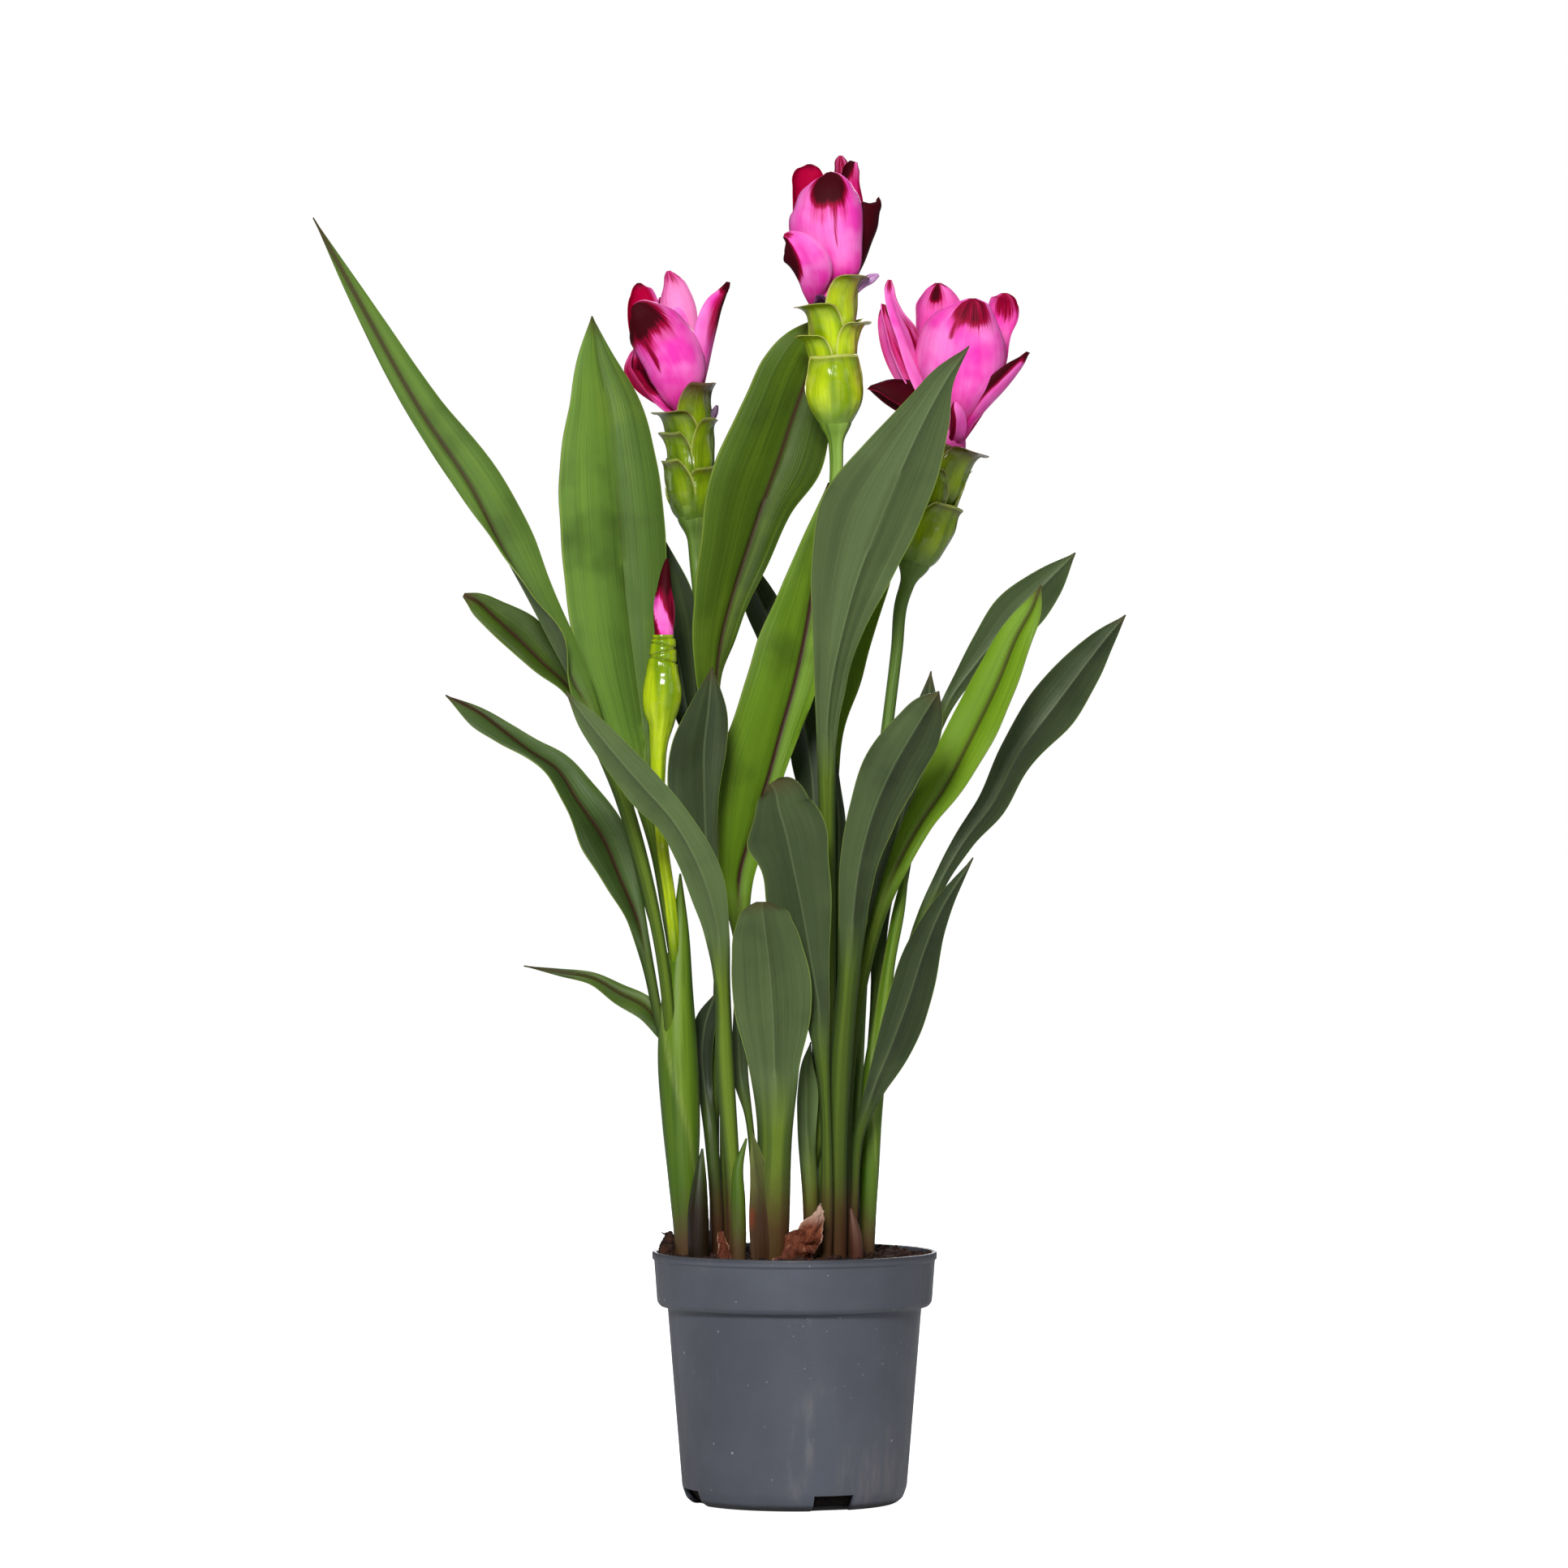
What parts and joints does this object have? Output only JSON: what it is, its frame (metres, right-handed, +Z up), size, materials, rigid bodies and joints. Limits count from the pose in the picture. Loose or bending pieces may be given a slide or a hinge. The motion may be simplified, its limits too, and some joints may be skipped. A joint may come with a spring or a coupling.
{
  "type": "potted siam tulip",
  "caption": "Siam tulip in bloom in a round grey nursery pot, with upright stalked leaves, pink-crowned green flower spikes and a spike still in bud.",
  "frame": {"origin": "middle of the pot's flat foot, on the surface that the pot stands on", "axes": "+Z up, -Y towards the front that the picture shows, +X to the right of that front"},
  "size_m": [0.4048, 0.1678, 0.6722],
  "materials": {
    "stalk": "satin",
    "shoot_brown": "satin",
    "dry_sheath": "matt, papery",
    "leaf_upper": "satin",
    "leaf_under": "satin",
    "green_bract": "glossy",
    "pink_bract": "satin",
    "pot": "satin",
    "soil": "matt, crumbly"
  },
  "bodies": {
    "root": {"shoot_left": "stalk", "shoot_right": "stalk", "shoot_purple": "shoot_brown", "shoot_brown": "dry_sheath", "shoot_green": "stalk", "leaf_left_long": "leaf_upper", "leaf_left_upright": "leaf_upper", "leaf_left_front": "leaf_under", "leaf_left_small": "leaf_upper", "leaf_left_twisted": "leaf_upper", "leaf_left_lowest": "leaf_upper", "leaf_left_inner": "leaf_under", "leaf_middle_upright": "leaf_upper", "leaf_middle_bright": "leaf_upper", "leaf_middle_dark": "leaf_under", "leaf_right_broad": "leaf_under", "leaf_right_hidden": "leaf_upper", "leaf_front_blunt": "leaf_under", "leaf_front_low": "leaf_under", "leaf_right_far": "leaf_under", "leaf_right_back": "leaf_under", "leaf_right_bright": "leaf_upper", "leaf_right_dark": "leaf_under", "leaf_right_shade": "leaf_under", "leaf_right_low": "leaf_under", "leaf_back_left": "leaf_under", "leaf_back_middle": "leaf_under", "leaf_small_left": "leaf_under", "leaf_small_right": "leaf_under", "leaf_small_shade": "leaf_under", "leaf_young": "leaf_under", "spike_middle_green": "green_bract", "spike_middle_pink": "pink_bract", "spike_left_green": "green_bract", "spike_left_pink": "pink_bract", "spike_right_green": "green_bract", "spike_right_pink": "pink_bract", "bud_green": "green_bract", "bud_pink": "pink_bract", "scale_front": "shoot_brown", "sheath_dry": "dry_sheath", "sheath_left": "dry_sheath", "pot": "pot", "soil": "soil"}
  },
  "joints": []
}
